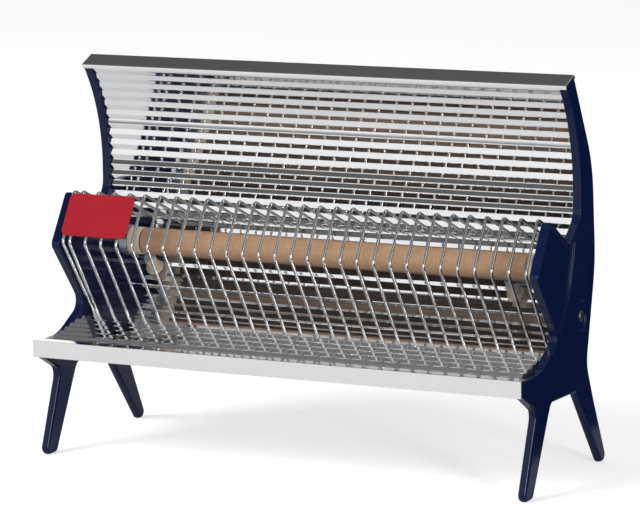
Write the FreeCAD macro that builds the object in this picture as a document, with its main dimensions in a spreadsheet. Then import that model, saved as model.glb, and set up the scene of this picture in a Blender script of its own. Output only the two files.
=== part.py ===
import FreeCAD, Part
import math
import os

from FreeCAD import Placement, Rotation, Vector

# A free-standing radiant heater: two moulded end panels on splayed legs carry a
# corrugated reflector, a wound ceramic element and a guard of bent wires.
# X runs along the element, -Y is the front that radiates, Z is up, and the
# origin is on the floor under the middle of the heater.

# Driving dimensions, in millimetres unless the name says otherwise.
SIZES = [
    ("body_width", 414.0),
    ("depth", 160.0),
    ("height", 304.0),
    ("panel_thickness", 7.0),
    ("nose_rim", 2.5),
    ("nose_dish_depth", 2.0),
    ("seat_gap", 0.3),
    ("overrun", 2.0),
    ("reflector_sheet", 0.5),
    ("rib_height", 0.65),
    ("rib_count", 35),
    ("trim_sheet", 0.9),
    ("front_trim_return", 9.0),
    ("top_trim_lip", 2.2),
    ("wire_diameter", 2.4),
    ("wire_count", 29),
    ("wire_margin_left", 9.1),
    ("wire_margin_right", 3.1),
    ("wire_tail", 6.0),
    ("nose_bend", 5.0),
    ("crest_bend", 3.5),
    ("guard_bar_width", 10.0),
    ("guard_bar_thickness", 1.5),
    ("core_diameter", 16.4),
    ("winding_wire", 2.6),
    ("winding_gap", 0.8),
    ("cap_left_length", 18.0),
    ("cap_right_length", 12.0),
    ("element_margin_left", 30.0),
    ("element_margin_right", 8.0),
    ("clamp_sheet", 1.0),
    ("clamp_width", 7.0),
    ("clamp_reach", 5.0),
    ("band_inset", 1.0),
    ("post_inset", 43.5),
    ("post_tilt_deg", 42.0),
    ("bolt_diameter", 4.0),
    ("bolt_head_diameter", 7.5),
    ("bolt_head_height", 2.4),
    ("nut_flats", 7.0),
    ("nut_height", 3.2),
    ("bush_diameter", 9.4),
    ("bush_flange_diameter", 13.6),
    ("bush_flange_height", 3.0),
    ("rear_bush_height", 5.0),
    ("bolt_tail", 3.0),
    ("lug_sheet", 1.0),
    ("lug_diameter", 9.0),
    ("lead_diameter", 4.0),
    ("cover_sheet", 0.8),
    ("vent_length", 34.0),
    ("vent_height", 4.0),
    ("vent_pitch", 46.0),
    ("vent_count", 7),
    ("block_length", 36.0),
    ("block_depth", 18.0),
    ("block_height", 14.0),
    ("block_bore", 4.6),
    ("block_screw_diameter", 3.5),
    ("block_pole_pitch", 12.0),
    ("gland_bore", 7.2),
    ("gland_neck", 11.0),
    ("gland_flange", 16.0),
    ("gland_flange_height", 3.0),
    ("gland_place", 120.0),
    ("earth_screw_diameter", 4.0),
    ("earth_place", 60.0),
    ("side_screw_diameter", 4.0),
    ("side_screw_head", 8.5),
    ("side_screw_head_height", 1.4),
    ("dish_width", 16.0),
    ("dish_length", 23.0),
    ("dish_depth", 1.6),
    ("badge_length", 58.0),
    ("badge_corner", 5.0),
    ("badge_sheet", 0.9),
    ("badge_strip_width", 9.0),
    ("badge_rivet_diameter", 2.6),
    ("badge_rivet_head", 4.8),
]

doc = FreeCAD.newDocument("radiant_heater")
sheet = doc.addObject("Spreadsheet::Sheet", "Sizes")
for row, (alias, value) in enumerate(SIZES, start=1):
    sheet.set("A%d" % row, alias)
    sheet.set("B%d" % row, str(value))
    sheet.setAlias("B%d" % row, alias)
doc.recompute()


def size(alias):
    return float(sheet.get(alias))


def count(alias):
    return int(round(size(alias)))


def place(share):
    """A point of the side view, from its shares of the depth and the height."""
    return share[0] * size("depth"), share[1] * size("height")


def corner(y_share, z_share, radius_share=0.0):
    """A rounded corner of the side view; the radius is a share of the depth."""
    y, z = place((y_share, z_share))
    return y, z, radius_share * size("depth")


# Side-view corners as shares of depth and height, each with its rounding as a
# share of the depth. The front of the heater has negative first shares.
FRONT_LIP_SHARES = [(-0.493, 0.266, 0.010), (-0.493, 0.301, 0.010), (-0.275, 0.301, 0.25)]
NOSE_SHARES = [(-0.056, 0.3635, 0.063), (-0.3095, 0.5365, 0.036), (-0.150, 0.666, 0.025),
               (0.081, 0.587, 0.028)]
NOSE_DISH_SHARES = [(0.155, 0.605, 0.012), (0.070, 0.463, 0.35), (-0.054, 0.3755, 0.012)]
RAIL_SHARES = [(0.2095, 0.645, 0.11), (0.2155, 0.852, 0.86), (0.047, 0.980, 0.010), (0.1345, 1.0, 0.010)]
BACK_SHARES = [(0.356, 0.770, 0.62), (0.384, 0.520, 0.75), (0.272, 0.270, 0.16)]
REAR_LEG_SHARES = [(0.519, 0.0, 0.031), (0.448, 0.0, 0.022), (0.1405, 0.212, 0.031)]
FRONT_LEG_SHARES = [(-0.150, 0.2155, 0.036), (-0.3656, 0.0, 0.028), (-0.475, 0.0, 0.034),
                    (-0.3155, 0.214, 0.056)]
REFLECTOR_SHARES = [(0.06375, 0.979), (0.2275, 0.852), (0.2275, 0.3685), (-0.491, 0.2925)]
REFLECTOR_REACH_SHARES = [0.876, 0.407]
WIRE_SHARES = [(0.2565, 0.5698), (-0.153, 0.6675), (-0.2975, 0.5445), (-0.031, 0.327)]
ELEMENT_SHARE = (0.019, 0.531)
COVER_SHARES = [(-0.43, 0.2795), (-0.2125, 0.2335, 0.125), (0.150, 0.2335, 0.11), (0.2655, 0.296, 0.125),
                (0.353, 0.51, 0.3), (0.345, 0.666, 0.02)]
VENT_ROW_SHARES = [0.425, 0.465, 0.505, 0.545]
LEAD_SHARES = [(0.0, 0.0, 0.0), (0.18, 0.0, 0.0), (0.39, 0.2, 0.44), (0.61, 0.67, 0.84), (0.8, 1.0, 1.0),
               (1.0, 1.0, 1.0)]
SIDE_SCREW_SHARE = (0.2185, 0.3975)
BADGE_SPAN_SHARES = (0.12, 0.93)
BLOCK_SHARE = 0.02
GLAND_SHARE = 0.28

half_width = size("body_width") / 2
inner_x = half_width - size("panel_thickness")
element_y, element_z = place(ELEMENT_SHARE)
wire_radius = size("wire_diameter") / 2


def unit(vector):
    length = math.hypot(vector[0], vector[1])
    return vector[0] / length, vector[1] / length


def left_of(direction):
    return -direction[1], direction[0]


def shifted(points, distance):
    """Corners of an open run moved to its left by a distance, roundings kept concentric."""
    runs = [unit((b[0] - a[0], b[1] - a[1])) for a, b in zip(points, points[1:])]
    result = []
    for index, point in enumerate(points):
        before = left_of(runs[max(index - 1, 0)])
        after = left_of(runs[min(index, len(runs) - 1)])
        scale = distance / (1 + before[0] * after[0] + before[1] * after[1])
        y = point[0] + (before[0] + after[0]) * scale
        z = point[1] + (before[1] + after[1]) * scale
        turn = before[0] * after[1] - before[1] * after[0]
        radius = point[2] if len(point) > 2 else 0.0
        if radius > 0.0:
            radius = radius - math.copysign(distance, turn)
        result.append((y, z, radius))
    return result


def rounded(points, closed):
    """Straight runs joined by tangent arcs, as (start, middle or None, end) pieces."""
    total = len(points)
    ends = []
    for index, point in enumerate(points):
        here = (point[0], point[1])
        radius = point[2] if len(point) > 2 else 0.0
        if radius <= 0.0 or (not closed and index in (0, total - 1)):
            ends.append((here, None, here))
            continue
        last = points[index - 1]
        following = points[(index + 1) % total]
        back = unit((last[0] - here[0], last[1] - here[1]))
        ahead = unit((following[0] - here[0], following[1] - here[1]))
        opening = math.acos(back[0] * ahead[0] + back[1] * ahead[1])
        tangent = radius / math.tan(opening / 2)
        middle = unit((back[0] + ahead[0], back[1] + ahead[1]))
        reach = radius / math.sin(opening / 2) - radius
        ends.append(((here[0] + back[0] * tangent, here[1] + back[1] * tangent),
                     (here[0] + middle[0] * reach, here[1] + middle[1] * reach),
                     (here[0] + ahead[0] * tangent, here[1] + ahead[1] * tangent)))
    pieces = []
    for index, (start, middle, end) in enumerate(ends):
        if middle is not None:
            pieces.append((start, middle, end))
        if closed or index < total - 1:
            pieces.append((end, None, ends[(index + 1) % total][0]))
    return pieces


def curves(pieces, point):
    """The pieces as lines and arcs, with point turning each pair into a vector."""
    made = []
    for start, middle, end in pieces:
        if middle is None:
            made.append(Part.LineSegment(point(start), point(end)))
        else:
            made.append(Part.Arc(point(start), point(middle), point(end)))
    return made


def flat(pair):
    return Vector(pair[0], pair[1], 0)


def upright(pair):
    return Vector(0, pair[0], pair[1])


def turned_back(pieces):
    return [(end, middle, start) for start, middle, end in reversed(pieces)]


def strip(points, thickness):
    """The closed outline of a bent sheet lying to the left of its open run of corners."""
    near = rounded(points, False)
    far = rounded(shifted(points, thickness), False)
    return near + [(near[-1][2], None, far[-1][2])] + turned_back(far) + [(far[0][0], None, near[0][0])]


def new_body(label):
    body = doc.addObject("PartDesign::Body", label)
    body.Label = label
    return body


def plane(body, role):
    for feature in body.Origin.OriginFeatures:
        if feature.Role == role:
            return feature


def sketch_on(body, role, name, offset=0.0):
    sketch = body.newObject("Sketcher::SketchObject", name)
    sketch.AttachmentSupport = [(plane(body, role), "")]
    sketch.MapMode = "FlatFace"
    sketch.AttachmentOffset = Placement(Vector(0, 0, offset), Rotation())
    return sketch


def pad(body, pieces, name, length, reverse=False, role="YZ_Plane", offset=0.0):
    """A pad of an outline; length is an expression on the sizes."""
    sketch = sketch_on(body, role, name + "_outline", offset)
    sketch.addGeometry(curves(pieces, flat), False)
    feature = body.newObject("PartDesign::Pad", name)
    feature.Profile = sketch
    feature.Reversed = reverse
    feature.setExpression("Length", length)
    doc.recompute()
    return feature


def pocket(body, geometry, name, length, reverse=False, role="YZ_Plane", offset=0.0):
    """A pocket of closed geometry; it has to take material away."""
    before = body.Shape.Volume
    sketch = sketch_on(body, role, name + "_outline", offset)
    sketch.addGeometry(geometry, False)
    feature = body.newObject("PartDesign::Pocket", name)
    feature.Profile = sketch
    feature.Reversed = reverse
    feature.setExpression("Length", length)
    doc.recompute()
    if body.Shape.Volume >= before:
        raise RuntimeError(name + " cuts nothing")
    return feature


def ring(y, z, radius):
    return Part.Circle(Vector(y, z, 0), Vector(0, 0, 1), radius)


def cylinder(label, radius, height, base, axis):
    """A round bar; radius and height are expressions, base and axis place it."""
    solid = doc.addObject("Part::Cylinder", label)
    solid.Label = label
    solid.setExpression("Radius", radius)
    solid.setExpression("Height", height)
    solid.Placement = Placement(base, Rotation(Vector(0, 0, 1), axis))
    return solid


def box(label, length, width, height, base, rotation=None):
    """A block; its three sizes are expressions, and base is its first corner."""
    solid = doc.addObject("Part::Box", label)
    solid.Label = label
    solid.setExpression("Length", length)
    solid.setExpression("Width", width)
    solid.setExpression("Height", height)
    solid.Placement = Placement(base, rotation or Rotation())
    return solid


def joined(label, solids):
    fuse = doc.addObject("Part::MultiFuse", label)
    fuse.Label = label
    fuse.Shapes = solids
    return fuse


def cut(label, base, tool):
    feature = doc.addObject("Part::Cut", label)
    feature.Label = label
    feature.Base = base
    feature.Tool = tool
    return feature


def group(label, solids):
    """Separate solids that share one node."""
    compound = doc.addObject("Part::Compound", label)
    compound.Label = label
    compound.Links = solids
    return compound


def shaped(label, shape):
    feature = doc.addObject("Part::Feature", label)
    feature.Label = label
    feature.Shape = shape
    return feature


nodes = []
sides = [("left", -1), ("right", 1)]

# End panels: a plate with the nose that shelters the guard. The nose is dished between
# its rim and the spine that runs from the top of the rail down into the two legs.
frame_shares = RAIL_SHARES + BACK_SHARES + REAR_LEG_SHARES + FRONT_LEG_SHARES
panel_corners = [corner(*share) for share in FRONT_LIP_SHARES + NOSE_SHARES + frame_shares]
nose_edge = [corner(*share) for share in NOSE_SHARES + RAIL_SHARES[:1]]
nose_dish = shifted(nose_edge, -size("nose_rim"))[1:4] + [corner(*share) for share in NOSE_DISH_SHARES]
screw_y, screw_z = place(SIDE_SCREW_SHARE)


def oval(y, z, width, length):
    """A standing ellipse."""
    return Part.Ellipse(Vector(y, z + length / 2, 0), Vector(y + width / 2, z, 0), Vector(y, z, 0))


for side, sign in sides:
    panel = new_body("side_panel_" + side)
    back = sign < 0
    outer = sign * size("panel_thickness")
    pad(panel, rounded(panel_corners, True), "plate_" + side, "Sizes.panel_thickness", back)
    hollow = curves(rounded(nose_dish, True), flat)
    pocket(panel, hollow, "nose_dish_" + side, "Sizes.nose_dish_depth", back, offset=outer)
    dish = [oval(screw_y, screw_z, size("dish_width"), size("dish_length"))]
    pocket(panel, dish, "dish_" + side, "Sizes.dish_depth", back, offset=outer)
    hole = [ring(screw_y, screw_z, size("side_screw_diameter") / 2 + size("seat_gap"))]
    pocket(panel, hole, "screw_hole_" + side, "Sizes.panel_thickness", not back)
    panel.setExpression("Placement.Base.x", "%d * (Sizes.body_width / 2 - Sizes.panel_thickness)" % sign)
    nodes.append(panel)

# Guard wires: each is one bent wire whose two tails pass through the reflector.
wire_corners = [place(share) for share in WIRE_SHARES]
bends = [0.0, size("crest_bend"), size("nose_bend"), 0.0]
wire_run = [(y, z, bend) for (y, z), bend in zip(wire_corners, bends)]
upper_way = unit((wire_corners[0][0] - wire_corners[1][0], wire_corners[0][1] - wire_corners[1][1]))
lower_way = unit((wire_corners[3][0] - wire_corners[2][0], wire_corners[3][1] - wire_corners[2][1]))
first_wire = size("wire_margin_left") - inner_x
last_wire = inner_x - size("wire_margin_right")
wire_pitch = (last_wire - first_wire) / (count("wire_count") - 1)
wire_places = [first_wire + wire_pitch * index for index in range(count("wire_count"))]


def wire_shape():
    path = Part.Wire([curve.toShape() for curve in curves(rounded(wire_run, False), upright)])
    start = upright(wire_corners[0])
    way = Vector(0, -upper_way[0], -upper_way[1])
    section = Part.Wire([Part.Circle(start, way, wire_radius).toShape()])
    return path.makePipeShell([section], True, False)


one_wire = wire_shape()
wire_spots = [Placement(Vector(x, 0, 0), Rotation()) for x in wire_places]

# The left end wire leans: it stands beside its neighbour at the lower bar and beside the panel at its crest.
lean_foot = first_wire - size("wire_diameter") - size("seat_gap")
lean_head = wire_radius + size("seat_gap") - inner_x
lean_rise = wire_corners[1][1] - wire_corners[3][1]
lean_turn = Rotation(Vector(0, 1, 0), -math.degrees(math.atan2(lean_foot - lean_head, lean_rise)))
lean_shift = Vector(lean_foot, -size("seat_gap") / 2, 0)
wire_spots.append(Placement(lean_shift, lean_turn, upright(wire_corners[3])))
wires = []
for spot in wire_spots:
    wire = one_wire.copy()
    wire.Placement = spot
    wires.append(wire)
nodes.append(shaped("guard_wires", Part.Compound(wires)))

# Guard bars: flat bars behind the reflector that the wires' ends are welded to.
sheet_length = "Sizes.body_width - 2 * Sizes.panel_thickness - 2 * Sizes.seat_gap"
sheet_start = "Sizes.panel_thickness + Sizes.seat_gap - Sizes.body_width / 2"
bar_length = sheet_length + " - 2 * Sizes.cover_sheet - 2 * Sizes.seat_gap"
bar_start = 2 * size("seat_gap") + size("cover_sheet") - inner_x
bar_ends = [("guard_bar_upper", wire_corners[0], upper_way), ("guard_bar_lower", wire_corners[3], lower_way)]
for label, end, way in bar_ends:
    turn = Rotation(Vector(1, 0, 0), math.degrees(math.atan2(way[1], way[0])))
    low = turn.multVec(Vector(0, 0, -size("guard_bar_width") / 2))
    start = Vector(bar_start, end[0], end[1]) + low
    nodes.append(box(label, bar_length, "Sizes.guard_bar_thickness", "Sizes.guard_bar_width", start, turn))


# Reflector: one corrugated sheet whose ribs run along the heater.
def eased(points, reaches):
    """Corners whose arcs each take a share of the shorter run beside them."""
    result = [points[0] + (0.0,)]
    for last, here, following, reach in zip(points, points[1:], points[2:], reaches):
        back = unit((last[0] - here[0], last[1] - here[1]))
        ahead = unit((following[0] - here[0], following[1] - here[1]))
        opening = math.acos(back[0] * ahead[0] + back[1] * ahead[1])
        length = min(math.dist(last, here), math.dist(here, following))
        result.append(here + (reach * length * math.tan(opening / 2),))
    return result + [points[-1] + (0.0,)]


reflector_corners = eased([place(share) for share in REFLECTOR_SHARES], REFLECTOR_REACH_SHARES)


def along(pieces, distance):
    """The point and left-hand normal a distance along straight runs and arcs."""
    for start, middle, end in pieces:
        if middle is None:
            length = math.dist(start, end)
            if distance <= length:
                way = unit((end[0] - start[0], end[1] - start[1]))
                return (start[0] + way[0] * distance, start[1] + way[1] * distance), left_of(way)
        else:
            arc = Part.Arc(flat(start), flat(middle), flat(end))
            length = arc.length()
            if distance <= length:
                parameter = arc.parameterAtDistance(distance, arc.FirstParameter)
                spot = arc.value(parameter)
                way = arc.tangent(parameter)[0]
                return (spot.x, spot.y), left_of((way.x, way.y))
        distance -= length
    way = unit((end[0] - start[0], end[1] - start[1]))
    return end, left_of(way)


def run_length(pieces):
    return sum(curve.length() for curve in curves(pieces, flat))


def ribbed(pieces, ribs, rib_height, thickness):
    """The closed outline of a sheet with round ribs that stand out to each side in turn."""
    half_step = run_length(pieces) / (2 * ribs)
    faces = {}
    for face in (thickness / 2, -thickness / 2):
        points = []
        for index in range(4 * ribs + 1):
            (y, z), normal = along(pieces, index * half_step / 2)
            crest = rib_height * (0, 1, 0, -1)[index % 4]
            points.append((y + normal[0] * (crest + face), z + normal[1] * (crest + face)))
        faces[face] = [(points[i], points[i + 1], points[i + 2]) for i in range(0, 4 * ribs, 2)]
    front, rear = faces[thickness / 2], faces[-thickness / 2]
    closing = [(rear[0][0], None, front[0][0])]
    return front + [(front[-1][2], None, rear[-1][2])] + turned_back(rear) + closing


reflector = new_body("reflector_sheet")
sheet_run = rounded(reflector_corners, False)
ribs = ribbed(sheet_run, count("rib_count"), size("rib_height"), size("reflector_sheet"))
pad(reflector, ribs, "ribs", sheet_length)
reflector.setExpression("Placement.Base.x", sheet_start)

post_angle = math.radians(size("post_tilt_deg"))
post_way = Vector(0, math.sin(post_angle), -math.cos(post_angle))
axis_point = Vector(0, element_y, element_z)
post_places = {"left": size("post_inset") - inner_x, "right": inner_x - size("post_inset")}


def on_post(side, distance):
    return axis_point + post_way * distance + Vector(post_places[side], 0, 0)


hole_radius = wire_radius + size("seat_gap")
stretch = 2 * size("wire_tail") + 2 * size("rib_height")
drills = []
for end, way in [(wire_corners[0], upper_way), (wire_corners[3], lower_way)]:
    for spot in wire_spots:
        axis = spot.Rotation.multVec(Vector(0, way[0], way[1]))
        base = spot.multVec(upright(end)) - axis * stretch + axis * size("overrun")
        drills.append(Part.makeCylinder(hole_radius, stretch, base, axis))
bore_radius = size("bolt_diameter") / 2 + size("seat_gap")
for side, sign in sides:
    drills.append(Part.makeCylinder(bore_radius, size("depth"), on_post(side, 0), post_way))
drill = shaped("reflector_drills", Part.Compound(drills))
nodes.append(cut("reflector", reflector, drill))

# The room along a terminal post in front of the sheet and behind it, for a flange square to the post.
sheet_half = size("rib_height") + size("reflector_sheet") / 2
sheet_line = Part.Wire([curve.toShape() for curve in curves(sheet_run, upright)])
post_turn = Rotation(Vector(1, 0, 0), 180 + size("post_tilt_deg"))
reaches = []
for offset in (-size("bush_flange_diameter") / 2, 0.0, size("bush_flange_diameter") / 2):
    start = axis_point + post_turn.multVec(Vector(0, offset, 0))
    probe = Part.makeLine(start, start + post_way * size("depth"))
    reaches.append((sheet_line.distToShape(probe)[1][0][0] - start).Length)
sheet_near = min(reaches) - sheet_half - size("seat_gap")
sheet_far = max(reaches) + sheet_half + size("seat_gap")

# Trims: channels that cap the front and top edges of the reflector and the panels.
lip_low = corner(*FRONT_LIP_SHARES[0])
lip_high = corner(*FRONT_LIP_SHARES[1])
gap = size("seat_gap")
front_trim = new_body("front_trim")
front_corners = [
    (lip_high[0] + size("front_trim_return"), lip_high[1] + gap),
    (lip_high[0] - gap, lip_high[1] + gap, size("seat_gap")),
    (lip_low[0] - gap, lip_low[1] - gap, size("seat_gap")),
    (lip_low[0] + size("front_trim_return"), lip_low[1] - gap),
]
pad(front_trim, strip(front_corners, -size("trim_sheet")), "front_channel", "Sizes.body_width")
front_trim.setExpression("Placement.Base.x", "-Sizes.body_width / 2")
nodes.append(front_trim)

rail_front = corner(*RAIL_SHARES[2])
rail_rear = corner(*RAIL_SHARES[3])
top_way = unit((rail_rear[0] - rail_front[0], rail_rear[1] - rail_front[1]))
top_up = left_of(top_way)


def on_top(along_way, up):
    y = rail_front[0] + top_way[0] * along_way + top_up[0] * up
    z = rail_front[1] + top_way[1] * along_way + top_up[1] * up
    return y, z


top_width = math.dist(rail_front[:2], rail_rear[:2])
top_trim = new_body("top_trim")
top_corners = [
    on_top(-gap, -size("top_trim_lip")),
    on_top(-gap, gap) + (gap,),
    on_top(top_width + gap, gap) + (gap,),
    on_top(top_width + gap, -size("top_trim_lip")),
]
pad(top_trim, strip(top_corners, size("trim_sheet")), "top_channel", "Sizes.body_width")
top_trim.setExpression("Placement.Base.x", "-Sizes.body_width / 2")
nodes.append(top_trim)

# Element: a ceramic core with end caps, and a resistance winding round it.
along_x = Vector(1, 0, 0)
element_from = size("element_margin_left") - inner_x
element_to = inner_x - size("element_margin_right")
bay_length = "Sizes.body_width - 2 * Sizes.panel_thickness"
core_length = bay_length + " - Sizes.element_margin_left - Sizes.element_margin_right"
core_start = axis_point + along_x * element_from
nodes.append(cylinder("element_core", "Sizes.core_diameter / 2", core_length, core_start, along_x))
cap_diameter = "(Sizes.core_diameter / 2 + Sizes.winding_wire)"
caps = [("element_cap_left", element_from, "Sizes.cap_left_length"),
        ("element_cap_right", element_to - size("cap_right_length"), "Sizes.cap_right_length")]
for label, x, length in caps:
    start = axis_point + along_x * x
    shell = cylinder(label + "_shell", cap_diameter, length, start, along_x)
    hollow = cylinder(label + "_hollow", "Sizes.core_diameter / 2", length, start, along_x)
    nodes.append(cut(label, shell, hollow))

winding_radius = size("core_diameter") / 2 + gap / 2 + size("winding_wire") / 2
winding_from = element_from + size("cap_left_length") + size("winding_wire")
winding_to = element_to - size("cap_right_length") - size("winding_wire")
winding_turns = int((winding_to - winding_from) / (size("winding_wire") + size("winding_gap")))
winding_pitch = (winding_to - winding_from) / winding_turns


def winding_spot(turns):
    angle = 2 * math.pi * turns
    x = winding_from + winding_pitch * turns
    spot = axis_point + Vector(x, winding_radius * math.cos(angle), winding_radius * math.sin(angle))
    rate = 2 * math.pi * winding_radius
    way = Vector(winding_pitch, -rate * math.sin(angle), rate * math.cos(angle))
    return spot, way.normalize()


def arc_from(start, way, end):
    """The arc that leaves start along way and reaches end."""
    chord = end - start
    half_turn = way.getAngle(chord)
    side_way = (chord - way * chord.dot(way)).normalize()
    lean = way * math.cos(half_turn / 2) + side_way * math.sin(half_turn / 2)
    middle = start + lean * (chord.Length / (2 * math.cos(half_turn / 2)))
    return Part.Arc(start, middle, end)


def biarc(start, way_out, end, way_in):
    """Two tangent arcs between two points with their directions."""
    span = end - start
    both = way_out + way_in
    slack = 2 * (1 - way_out.dot(way_in))
    reach = (-span.dot(both) + math.sqrt(span.dot(both) ** 2 + slack * span.dot(span))) / slack
    joint = (start + way_out * reach + end - way_in * reach) * 0.5
    return [arc_from(start, way_out, joint), arc_from(end, way_in * -1, joint)]


def winding_shape():
    steps = 4 * winding_turns
    spots = [winding_spot(step / 4) for step in range(steps + 1)]
    path = []
    for (start, way_out), (end, way_in) in zip(spots, spots[1:]):
        path += [arc.toShape() for arc in biarc(start, way_out, end, way_in)]
    first, way = spots[0]
    section = Part.Wire([Part.Circle(first, way, size("winding_wire") / 2).toShape()])
    return Part.Wire(path).makePipeShell([section], True, False)


def winding_gap():
    """The least gap between neighbouring turns, measured on points of the winding."""
    start = winding_spot(0)[0]
    following = [winding_spot(step / 96)[0] for step in range(48, 144)]
    return min((start - spot).Length for spot in following) - size("winding_wire")


print("winding: least gap to itself %.2f mm" % winding_gap())
nodes.append(shaped("element_winding", winding_shape()))

# Terminal posts: each end cap sits in a sheet clamp whose arm is bolted through
# a ceramic bush in the reflector.
cap_radius = size("core_diameter") / 2 + size("winding_wire")
clamp_inner = cap_radius + gap
clamp_outer = clamp_inner + size("clamp_sheet")
arm_near = clamp_outer + size("clamp_reach")
arm_far = arm_near + size("clamp_sheet")
bush_near = arm_far + size("nut_height")
bush_far = sheet_near
rear_near = sheet_far
lug_near = rear_near + size("rear_bush_height")
nut_near = lug_near + size("lug_sheet")
bolt_end = nut_near + size("nut_height") + size("bolt_tail")
band_middles = {"left": element_from + size("band_inset") + size("clamp_width") / 2,
                "right": element_to - size("band_inset") - size("clamp_width") / 2}
bolt_radius = "Sizes.bolt_diameter / 2"
bolt_hole = bolt_radius + " + Sizes.seat_gap / 2"
half_clamp = size("clamp_width") / 2


def post_rod(label, side, radius, near, far):
    """A round piece on a terminal post, between two distances from the element's axis."""
    return cylinder(label, radius, "%r mm" % (far - near), on_post(side, near), post_way)


def hexagon(label, side, near):
    nut = doc.addObject("Part::Prism", label + "_hex")
    nut.Polygon = 6
    nut.setExpression("Circumradius", "Sizes.nut_flats / sqrt(3)")
    nut.setExpression("Height", "Sizes.nut_height")
    nut.Placement = Placement(on_post(side, near), Rotation(Vector(0, 0, 1), post_way))
    bore = cylinder(label + "_bore", bolt_hole, "Sizes.nut_height", on_post(side, near), post_way)
    return cut(label, nut, bore)


nuts = []
lugs = []
leads = []
for side, sign in sides:
    middle = band_middles[side]
    ring_start = axis_point + along_x * (middle - half_clamp)
    band = cylinder("clamp_band_" + side, "%r mm" % clamp_outer, "Sizes.clamp_width", ring_start, along_x)
    low_x = min(middle, post_places[side]) - half_clamp
    high_x = max(middle, post_places[side]) + half_clamp
    across = post_turn.multVec(Vector(0, half_clamp, 0))
    ear_base = ring_start + post_way * clamp_inner - across
    ear_height = "%r mm" % (arm_far - clamp_inner)
    ear = box("clamp_ear_" + side, "Sizes.clamp_width", "Sizes.clamp_width", ear_height, ear_base, post_turn)
    arm_base = axis_point + along_x * low_x + post_way * arm_near - across
    arm = box("clamp_arm_" + side, "%r mm" % (high_x - low_x), "Sizes.clamp_width", "Sizes.clamp_sheet",
              arm_base, post_turn)
    metal = joined("clamp_metal_" + side, [band, ear, arm])
    seat = cylinder("clamp_seat_" + side, "%r mm" % clamp_inner, "Sizes.clamp_width", ring_start, along_x)
    bored = cut("clamp_bored_" + side, metal, seat)
    hole = post_rod("clamp_hole_" + side, side, bolt_hole, clamp_outer, bush_near)
    nodes.append(cut("element_clamp_" + side, bored, hole))
    head = post_rod("bolt_head_" + side, side, "Sizes.bolt_head_diameter / 2",
                    arm_near - size("bolt_head_height"), arm_near)
    shank = post_rod("bolt_shank_" + side, side, bolt_radius, arm_near, bolt_end)
    nodes.append(joined("terminal_bolt_" + side, [head, shank]))
    body = post_rod("bush_body_" + side, side, "Sizes.bush_diameter / 2", bush_near, bush_far)
    flange = post_rod("bush_flange_" + side, side, "Sizes.bush_flange_diameter / 2",
                      bush_far - size("bush_flange_height"), bush_far)
    bore = post_rod("bush_bore_" + side, side, bolt_hole, bush_near, bush_far)
    nodes.append(cut("terminal_bush_" + side, joined("bush_solid_" + side, [body, flange]), bore))
    washer = post_rod("rear_bush_solid_" + side, side, "Sizes.bush_flange_diameter / 2", rear_near, lug_near)
    bore = post_rod("rear_bush_bore_" + side, side, bolt_hole, rear_near, lug_near)
    nodes.append(cut("rear_bush_" + side, washer, bore))
    nuts.append(hexagon("front_nut_" + side, side, arm_far))
    nuts.append(hexagon("rear_nut_" + side, side, nut_near))
    eye = post_rod("lug_eye_" + side, side, "Sizes.lug_diameter / 2", lug_near, nut_near)
    inward = along_x * -sign
    barrel_near = size("bush_flange_diameter") / 2 + gap
    barrel_radius = size("lead_diameter") / 2 + size("lug_sheet") / 2
    lug_middle = on_post(side, (lug_near + nut_near) / 2)
    tongue_x = min(0.0, -sign * (barrel_near + size("lug_sheet")))
    half_tongue = post_turn.multVec(Vector(0, size("lead_diameter") / 2, 0))
    tongue_base = on_post(side, lug_near) + along_x * tongue_x - half_tongue
    tongue = box("lug_tongue_" + side, "%r mm" % (barrel_near + size("lug_sheet")), "Sizes.lead_diameter",
                 "Sizes.lug_sheet", tongue_base, post_turn)
    barrel = cylinder("lug_barrel_" + side, "%r mm" % barrel_radius, "2 * Sizes.lead_diameter",
                      lug_middle + inward * barrel_near, inward)
    bore = post_rod("lug_bore_" + side, side, bolt_hole, lug_near, nut_near)
    lugs.append(cut("lug_" + side, joined("lug_solid_" + side, [eye, tongue, barrel]), bore))
    leads.append((side, sign, lug_middle + inward * (barrel_near + 2 * size("lead_diameter"))))
nodes.append(group("terminal_nuts", nuts))
nodes.append(group("lead_lugs", lugs))

# Rear cover: a bent sheet with end walls, which closes the wiring space behind the reflector.
cover_front = [corner(*share) for share in COVER_SHARES]
behind = shifted(reflector_corners, sheet_half + gap)
cover_run = cover_front + [(behind[2][0], cover_front[-1][1], 0.0)]
slope = (behind[3][1] - behind[2][1]) / (behind[3][0] - behind[2][0])
front_y = cover_front[0][0]
wall_run = cover_run + [behind[2], (front_y, behind[2][1] + slope * (front_y - behind[2][0]), 0.0)]
cover_body = new_body("cover_body")
pad(cover_body, strip(cover_run, size("cover_sheet")), "cover_strip", sheet_length)
pad(cover_body, rounded(wall_run, True), "wall_left", "Sizes.cover_sheet")
wall_offset = 2 * (inner_x - gap) - size("cover_sheet")
pad(cover_body, rounded(wall_run, True), "wall_right", "Sizes.cover_sheet", offset=wall_offset)
cover_body.setExpression("Placement.Base.x", sheet_start)

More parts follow.
